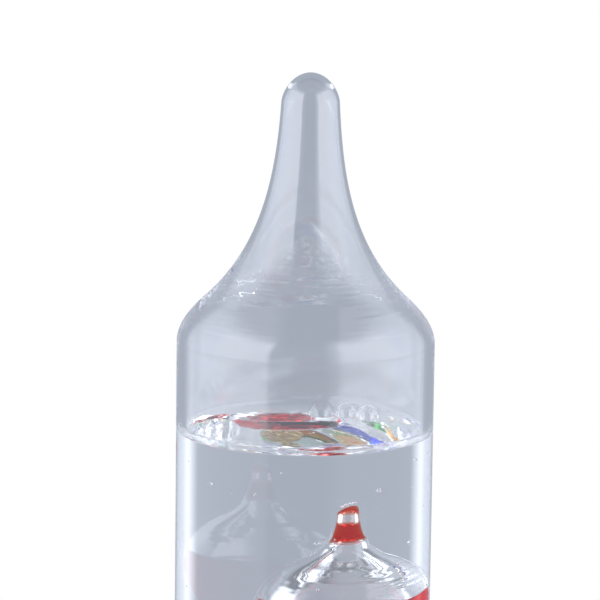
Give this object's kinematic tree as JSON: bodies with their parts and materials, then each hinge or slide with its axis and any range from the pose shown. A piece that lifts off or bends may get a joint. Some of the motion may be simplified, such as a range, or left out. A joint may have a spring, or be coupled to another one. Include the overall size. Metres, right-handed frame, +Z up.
{
  "type": "galileo thermometer",
  "caption": "Sealed glass tube of clear liquid with a drawn tip and coloured glass floats, each with a hanging metal tag, that rise or sink with temperature.",
  "frame": {"origin": "centre of the flat foot, at the bottom of the tube", "axes": "+Z up along the tube, front looks along +Y, +X to the viewer's right"},
  "size_m": [0.045, 0.045, 0.32],
  "materials": {
    "tube_glass": "clear polished borosilicate glass",
    "liquid": "clear colourless liquid",
    "float_glass": "thin clear blown glass",
    "dye_red": "transparent red dyed liquid",
    "dye_blue": "transparent blue dyed liquid",
    "dye_green": "transparent green dyed liquid",
    "dye_amber": "transparent amber dyed liquid",
    "dye_purple": "transparent purple dyed liquid",
    "ring_wire": "bright drawn wire",
    "tag_brass": "satin brass with raised numerals"
  },
  "bodies": {
    "tube": {"outer_tube": "tube_glass", "tip_seal": "tube_glass", "working_liquid": "liquid"},
    "float_26": {"float_26_shell": "float_glass", "float_26_stem_seal": "float_glass", "float_26_dye": "dye_red"},
    "float_24": {"float_24_shell": "float_glass", "float_24_stem_seal": "float_glass", "float_24_dye": "dye_blue"},
    "float_22": {"float_22_shell": "float_glass", "float_22_stem_seal": "float_glass", "float_22_dye": "dye_amber"},
    "float_20": {"float_20_shell": "float_glass", "float_20_stem_seal": "float_glass", "float_20_dye": "dye_green"},
    "float_18": {"float_18_shell": "float_glass", "float_18_stem_seal": "float_glass", "float_18_dye": "dye_purple"},
    "tag_26": {"float_26_ring": "ring_wire", "float_26_tag": "tag_brass"},
    "tag_24": {"float_24_ring": "ring_wire", "float_24_tag": "tag_brass"},
    "tag_22": {"float_22_ring": "ring_wire", "float_22_tag": "tag_brass"},
    "tag_20": {"float_20_ring": "ring_wire", "float_20_tag": "tag_brass"},
    "tag_18": {"float_18_ring": "ring_wire", "float_18_tag": "tag_brass"}
  },
  "joints": [
    {"name": "float_26_rise", "type": "slide", "parent": "tube", "child": "float_26", "axis": [0, 0, 1], "range_m": [-0.01, 0.01]},
    {"name": "float_24_rise", "type": "slide", "parent": "tube", "child": "float_24", "axis": [0, 0, 1], "range_m": [-0.0178, 0.01]},
    {"name": "float_22_rise", "type": "slide", "parent": "tube", "child": "float_22", "axis": [0, 0, 1], "range_m": [-0.007, 0.0178]},
    {"name": "float_20_rise", "type": "slide", "parent": "tube", "child": "float_20", "axis": [0, 0, 1], "range_m": [-0.007, 0.007]},
    {"name": "float_18_rise", "type": "slide", "parent": "tube", "child": "float_18", "axis": [0, 0, 1], "range_m": [-0.0004, 0.007]},
    {"name": "tag_26_swing", "type": "hinge", "parent": "float_26", "child": "tag_26", "pos_m": [0.0054, 0, 0.2108], "axis": [1, 0, 0], "range_deg": [-30, 30]},
    {"name": "tag_24_swing", "type": "hinge", "parent": "float_24", "child": "tag_24", "pos_m": [-0.0049, 0.0015, 0.1638], "axis": [1, 0, 0], "range_deg": [-30, 30]},
    {"name": "tag_22_swing", "type": "hinge", "parent": "float_22", "child": "tag_22", "pos_m": [0.0052, -0.0012, 0.109], "axis": [1, 0, 0], "range_deg": [-30, 30]},
    {"name": "tag_20_swing", "type": "hinge", "parent": "float_20", "child": "tag_20", "pos_m": [-0.005, -0.0018, 0.065], "axis": [1, 0, 0], "range_deg": [-30, 30]},
    {"name": "tag_18_swing", "type": "hinge", "parent": "float_18", "child": "tag_18", "pos_m": [0.0046, 0.002, 0.021], "axis": [1, 0, 0], "range_deg": [-30, 30]}
  ]
}
